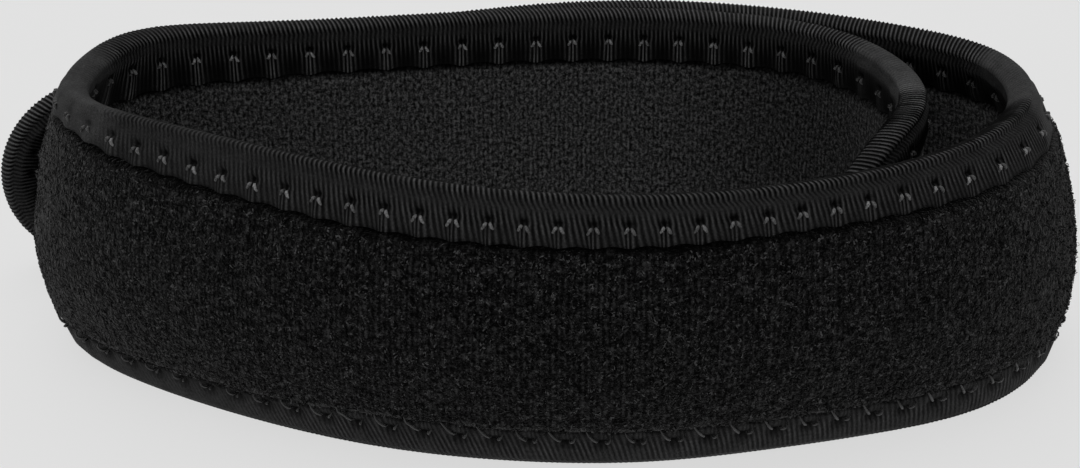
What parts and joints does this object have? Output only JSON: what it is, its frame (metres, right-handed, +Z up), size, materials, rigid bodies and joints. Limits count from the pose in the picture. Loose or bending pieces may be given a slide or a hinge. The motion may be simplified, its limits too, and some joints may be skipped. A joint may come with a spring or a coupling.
{
  "type": "patella strap",
  "caption": "Padded band with a ribbed bound edge, wound into an oval loop and lapped along the back, with one rounded end curled inside and the other standing out as a pull tab.",
  "frame": {"origin": "middle of the base, on the surface that the strap stands on", "axes": "+Z up through the loop, -Y towards the front of the strap, +X along its length"},
  "size_m": [0.1792, 0.0918, 0.0453],
  "materials": {
    "loop_fabric": "matte brushed fabric",
    "knit": "matte knit",
    "tape": "ribbed, slight sheen",
    "hook": "fine stiff hooks"
  },
  "bodies": {
    "root": {"padded_band": "loop_fabric", "knit_lining": "knit", "edge_binding": "tape", "hook_patch": "hook"}
  },
  "joints": []
}
